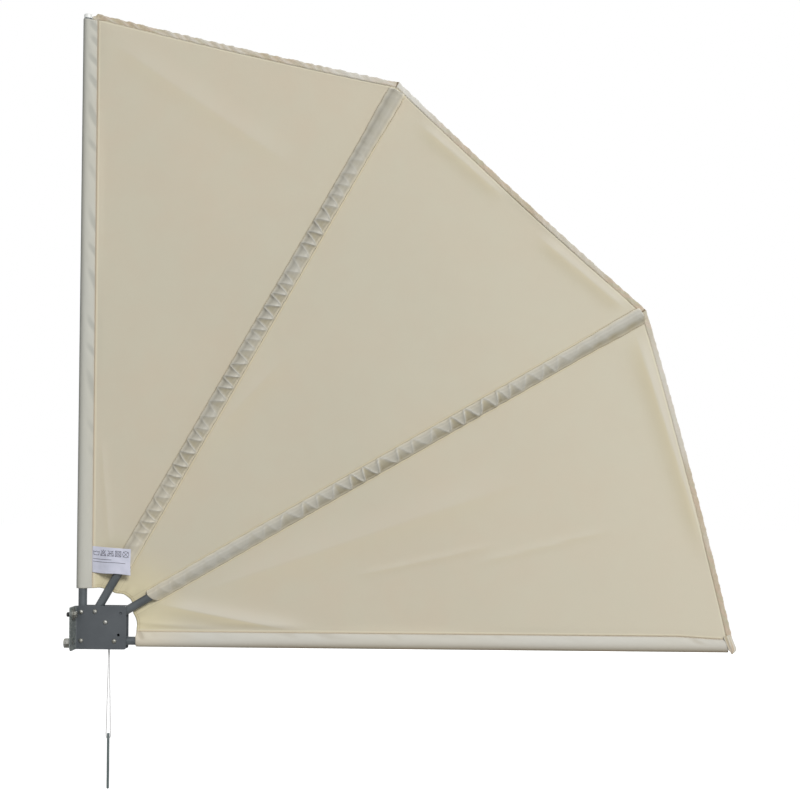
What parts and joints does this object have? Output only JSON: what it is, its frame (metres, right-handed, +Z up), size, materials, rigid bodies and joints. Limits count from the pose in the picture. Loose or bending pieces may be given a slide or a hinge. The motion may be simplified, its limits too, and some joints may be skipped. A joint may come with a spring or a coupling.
{
  "type": "side awning",
  "caption": "Quarter-round side awning: cloth on a fan of tubes that pivot in a wall bracket and fold up against the wall, with a locking pin on a lanyard.",
  "frame": {"origin": "on the wall, halfway between the two bracket plates and at the middle of the bracket's height", "axes": "+X out from the wall along the lower arm, +Y through the bracket away from the side the picture shows, +Z up along the wall arm"},
  "size_m": [1.4322, 0.107, 1.6675],
  "materials": {
    "bracket_paint": "satin dark grey powder coat",
    "tube_paint": "satin dark grey powder coat",
    "white_plastic": "plain moulded",
    "zinc_steel": "bright zinc plate",
    "black_plastic": "plain moulded",
    "canopy_cloth": "tightly woven, cream",
    "sleeve_cloth": "tightly woven, pale grey-cream",
    "edge_tape": "folded and stitched, tan",
    "label_satin": "smooth satin ribbon",
    "white_cord": "thin braided cord"
  },
  "bodies": {
    "bracket": {"front_plate": "bracket_paint", "back_plate": "bracket_paint", "wall_arm_tube": "tube_paint", "wall_arm_cap": "white_plastic", "wall_arm_sleeve": "sleeve_cloth", "wall_arm_bolt_high": "zinc_steel", "wall_arm_bolt_low": "zinc_steel", "arm_1_bolt": "zinc_steel", "arm_2_bolt": "zinc_steel", "lower_arm_bolt": "zinc_steel", "wall_arm_nut_high": "zinc_steel", "wall_arm_nut_low": "zinc_steel", "arm_1_nut": "zinc_steel", "arm_2_nut": "zinc_steel", "lower_arm_nut": "zinc_steel", "wall_screw": "zinc_steel", "wall_screw_washer": "zinc_steel", "wall_plug": "black_plastic", "spare_bolt": "zinc_steel", "spare_nut": "zinc_steel", "upper_panel": "canopy_cloth", "upper_edge_tape": "edge_tape", "care_label": "label_satin", "lanyard_cord": "white_cord", "lanyard_knot": "white_cord", "locking_pin": "zinc_steel"},
    "arm_1": {"arm_1_tube": "tube_paint", "arm_1_cap": "white_plastic", "arm_1_sleeve": "sleeve_cloth"},
    "arm_2": {"arm_2_tube": "tube_paint", "arm_2_cap": "white_plastic", "arm_2_sleeve": "sleeve_cloth", "middle_panel": "canopy_cloth", "middle_edge_tape": "edge_tape"},
    "lower_arm": {"lower_arm_tube": "tube_paint", "lower_arm_cap": "white_plastic", "lower_arm_sleeve": "sleeve_cloth", "lower_panel": "canopy_cloth", "lower_edge_tape": "edge_tape"}
  },
  "joints": [
    {"name": "lower_arm_fold", "type": "hinge", "parent": "bracket", "child": "lower_arm", "pos_m": [0.0843, 0, -0.0288], "axis": [0, -1, 0], "range_deg": [0, 90], "deforming": ["lower_panel", "lower_edge_tape", "lower_arm_sleeve"]},
    {"name": "arm_2_fold", "type": "hinge", "parent": "bracket", "child": "arm_2", "pos_m": [0.0652, 0, 0.0116], "axis": [0, -1, 0], "range_deg": [0, 59.6], "deforming": ["middle_panel", "middle_edge_tape", "arm_2_sleeve"]},
    {"name": "arm_1_fold", "type": "hinge", "parent": "bracket", "child": "arm_1", "pos_m": [0.0427, 0, 0.0345], "axis": [0, -1, 0], "range_deg": [0, 29.5], "deforming": ["upper_panel", "upper_edge_tape", "arm_1_sleeve", "care_label"]}
  ],
  "couplings": [
    {"joint": "arm_2_fold", "follows": "lower_arm_fold", "ratio": 0.66222},
    {"joint": "arm_1_fold", "follows": "lower_arm_fold", "ratio": 0.32778}
  ]
}
